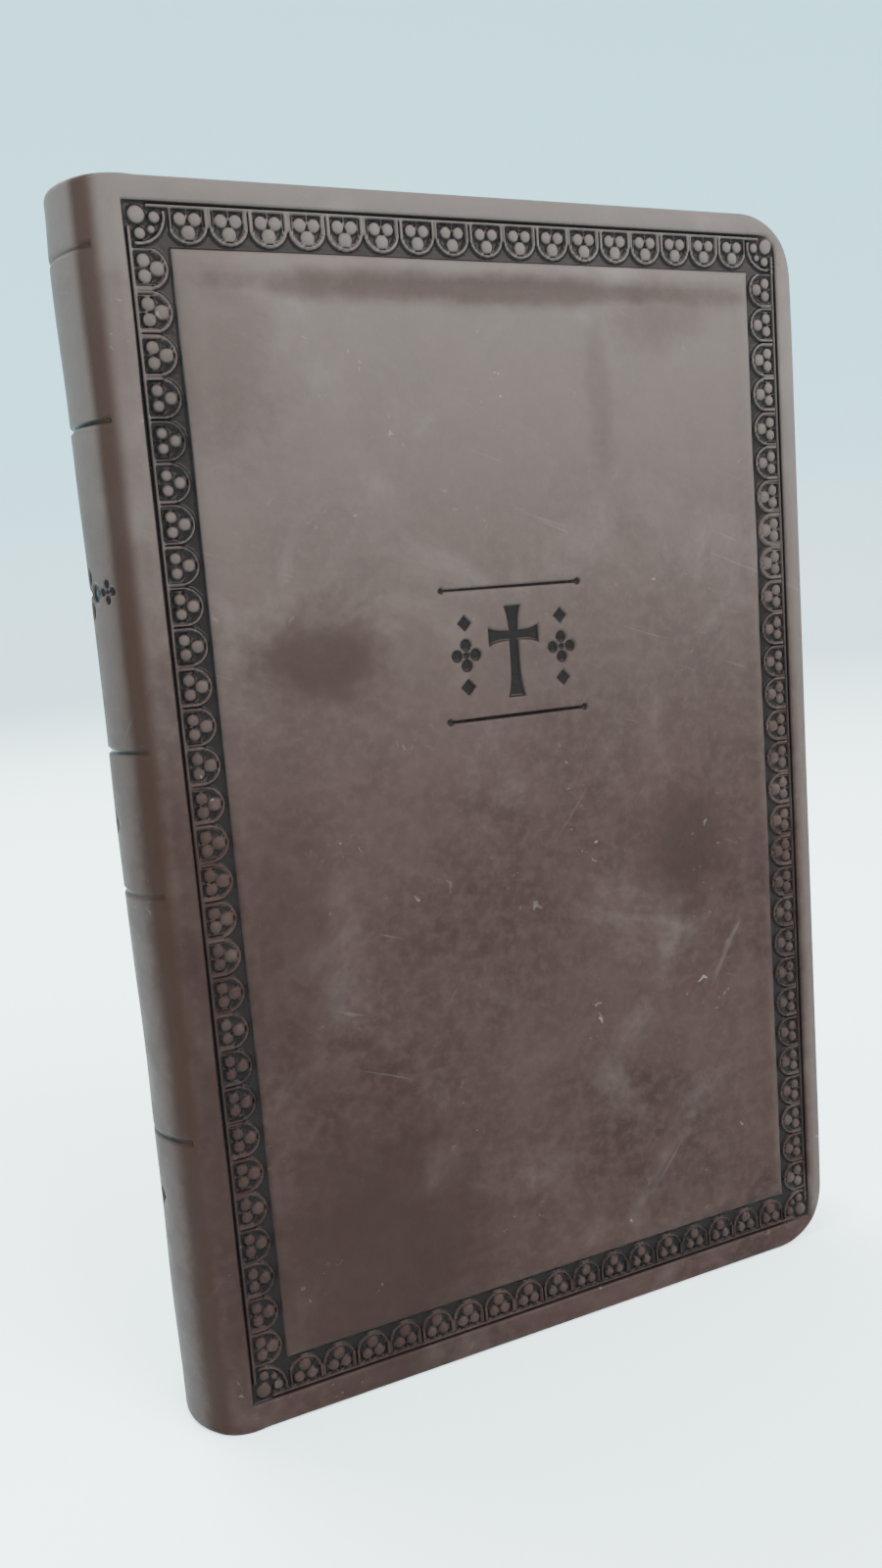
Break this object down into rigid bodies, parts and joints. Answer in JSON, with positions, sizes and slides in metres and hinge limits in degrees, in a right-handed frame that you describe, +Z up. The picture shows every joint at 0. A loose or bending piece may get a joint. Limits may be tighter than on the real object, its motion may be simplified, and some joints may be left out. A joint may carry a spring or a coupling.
{
  "type": "bible",
  "caption": "Thin upright book with limp leather-look covers, a rounded spine, folded gatherings and endpapers; the covers and the block open on hinges.",
  "frame": {"origin": "under the middle of the closed book, on the surface it stands on", "axes": "+Z up along the spine, from tail to head; +X from the spine to the fore-edge; +Y from the front cover to the back cover"},
  "size_m": [0.1404, 0.025, 0.215],
  "materials": {
    "cover_leather": "satin, mottled and rubbed",
    "board": "matte",
    "endpaper": "matte",
    "leaf_paper": "matte",
    "mull": "matte open weave",
    "band": "satin thread"
  },
  "bodies": {
    "back_half": {"back_gathering_01": "leaf_paper", "back_gathering_02": "leaf_paper", "back_gathering_03": "leaf_paper", "back_gathering_04": "leaf_paper", "back_gathering_05": "leaf_paper", "back_gathering_06": "leaf_paper", "back_gathering_07": "leaf_paper", "back_gathering_08": "leaf_paper", "back_gathering_09": "leaf_paper", "back_gathering_10": "leaf_paper", "back_gathering_11": "leaf_paper", "back_headband": "band", "back_spine_card": "board", "back_spine_leather": "cover_leather", "back_spine_mull": "mull", "back_tailband": "band"},
    "front_half": {"front_gathering_01": "leaf_paper", "front_gathering_02": "leaf_paper", "front_gathering_03": "leaf_paper", "front_gathering_04": "leaf_paper", "front_gathering_05": "leaf_paper", "front_gathering_06": "leaf_paper", "front_gathering_07": "leaf_paper", "front_gathering_08": "leaf_paper", "front_gathering_09": "leaf_paper", "front_gathering_10": "leaf_paper", "front_gathering_11": "leaf_paper", "front_headband": "band", "front_spine_card": "board", "front_spine_leather": "cover_leather", "front_spine_mull": "mull", "front_tailband": "band"},
    "front_cover": {"front_board": "board", "front_cover_leather": "cover_leather", "front_pastedown": "endpaper"},
    "back_cover": {"back_board": "board", "back_cover_leather": "cover_leather", "back_pastedown": "endpaper"},
    "front_flyleaf": {"front_flyleaf": "endpaper"},
    "back_flyleaf": {"back_flyleaf": "endpaper"},
    "centre_leaf": {"centre_leaf": "leaf_paper"}
  },
  "joints": [
    {"name": "block_opening", "type": "hinge", "parent": "back_half", "child": "front_half", "pos_m": [-0.07025, 0, 0], "axis": [0, 0, -1], "range_deg": [0, 120]},
    {"name": "front_cover_hinge", "type": "hinge", "parent": "front_half", "child": "front_cover", "pos_m": [-0.0605, -0.0125, 0], "axis": [0, 0, -1], "range_deg": [0, 150]},
    {"name": "back_cover_hinge", "type": "hinge", "parent": "back_half", "child": "back_cover", "pos_m": [-0.0605, 0.0125, 0], "axis": [0, 0, 1], "range_deg": [0, 90]},
    {"name": "front_flyleaf_hinge", "type": "hinge", "parent": "front_half", "child": "front_flyleaf", "pos_m": [-0.0565, -0.0103, 0], "axis": [0, 0, -1], "range_deg": [0, 75]},
    {"name": "back_flyleaf_hinge", "type": "hinge", "parent": "back_half", "child": "back_flyleaf", "pos_m": [-0.0565, 0.0103, 0], "axis": [0, 0, 1], "range_deg": [0, 45]},
    {"name": "centre_leaf_hinge", "type": "hinge", "parent": "back_half", "child": "centre_leaf", "pos_m": [-0.07025, 0, 0], "axis": [0, 0, -1], "range_deg": [0, 60]}
  ],
  "couplings": [
    {"joint": "front_flyleaf_hinge", "follows": "front_cover_hinge", "ratio": 0.5},
    {"joint": "back_flyleaf_hinge", "follows": "back_cover_hinge", "ratio": 0.5},
    {"joint": "centre_leaf_hinge", "follows": "block_opening", "ratio": 0.5}
  ]
}
